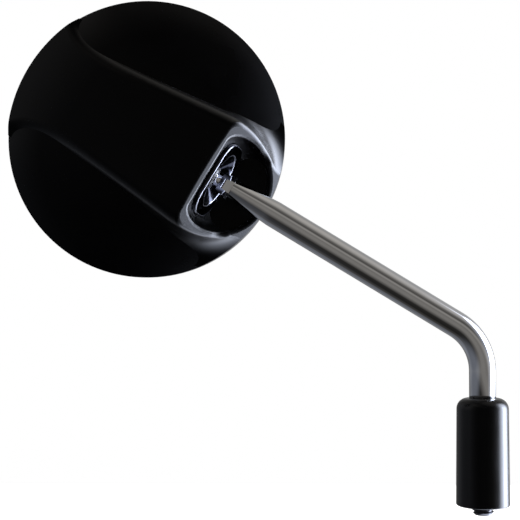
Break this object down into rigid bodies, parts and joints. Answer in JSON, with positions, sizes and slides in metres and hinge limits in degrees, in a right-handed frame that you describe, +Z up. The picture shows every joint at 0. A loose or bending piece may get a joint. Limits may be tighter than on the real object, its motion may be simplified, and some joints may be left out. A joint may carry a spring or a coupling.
{
  "type": "motorcycle mirror",
  "caption": "Round motorcycle mirror with a ridged plastic back, a ball joint in a pocket, a bent chrome stem and a rubber boot over its threaded end.",
  "frame": {"origin": "on the stem's threaded end, in the plane where its lock nut seats", "axes": "+Z up the stem, -X towards the head, -Y out of the head's back, +Y the way the glass faces"},
  "size_m": [0.1917, 0.0353, 0.1969],
  "materials": {
    "chrome": "bright plated",
    "dark_chrome": "dark bright plated",
    "zinc_steel": "zinc plated",
    "black_plastic": "moulded gloss",
    "black_rubber": "satin",
    "black_acetal": "moulded",
    "silvered_glass": "polished"
  },
  "bodies": {
    "stem": {"stem_rod": "chrome", "ball_stud": "chrome", "lock_nut": "zinc_steel"},
    "boot": {"rubber_boot": "black_rubber"},
    "front_seat": {"front_ball_seat": "black_acetal"},
    "rear_seat": {"rear_ball_seat": "black_acetal"},
    "head": {"housing": "black_plastic", "socket_plate": "dark_chrome", "clamp_plate": "zinc_steel", "spring_washers": "zinc_steel", "clamp_nuts": "zinc_steel", "mirror_glass": "silvered_glass", "glass_gasket": "black_rubber"}
  },
  "joints": [
    {"name": "boot_slide", "type": "slide", "parent": "stem", "child": "boot", "axis": [0, 0, 1], "range_m": [0, 0.01]},
    {"name": "head_twist", "type": "hinge", "parent": "stem", "child": "front_seat", "pos_m": [-0.10313, 0, 0.11141], "axis": [0.8545, 0, -0.5195], "continuous": true},
    {"name": "head_tilt", "type": "hinge", "parent": "front_seat", "child": "rear_seat", "pos_m": [-0.10313, 0, 0.11141], "axis": [0.5195, 0, 0.8545], "range_deg": [-7, 25]},
    {"name": "head_pan", "type": "hinge", "parent": "rear_seat", "child": "head", "pos_m": [-0.10313, 0, 0.11141], "axis": [0, -1, 0], "range_deg": [-12, 12]}
  ]
}
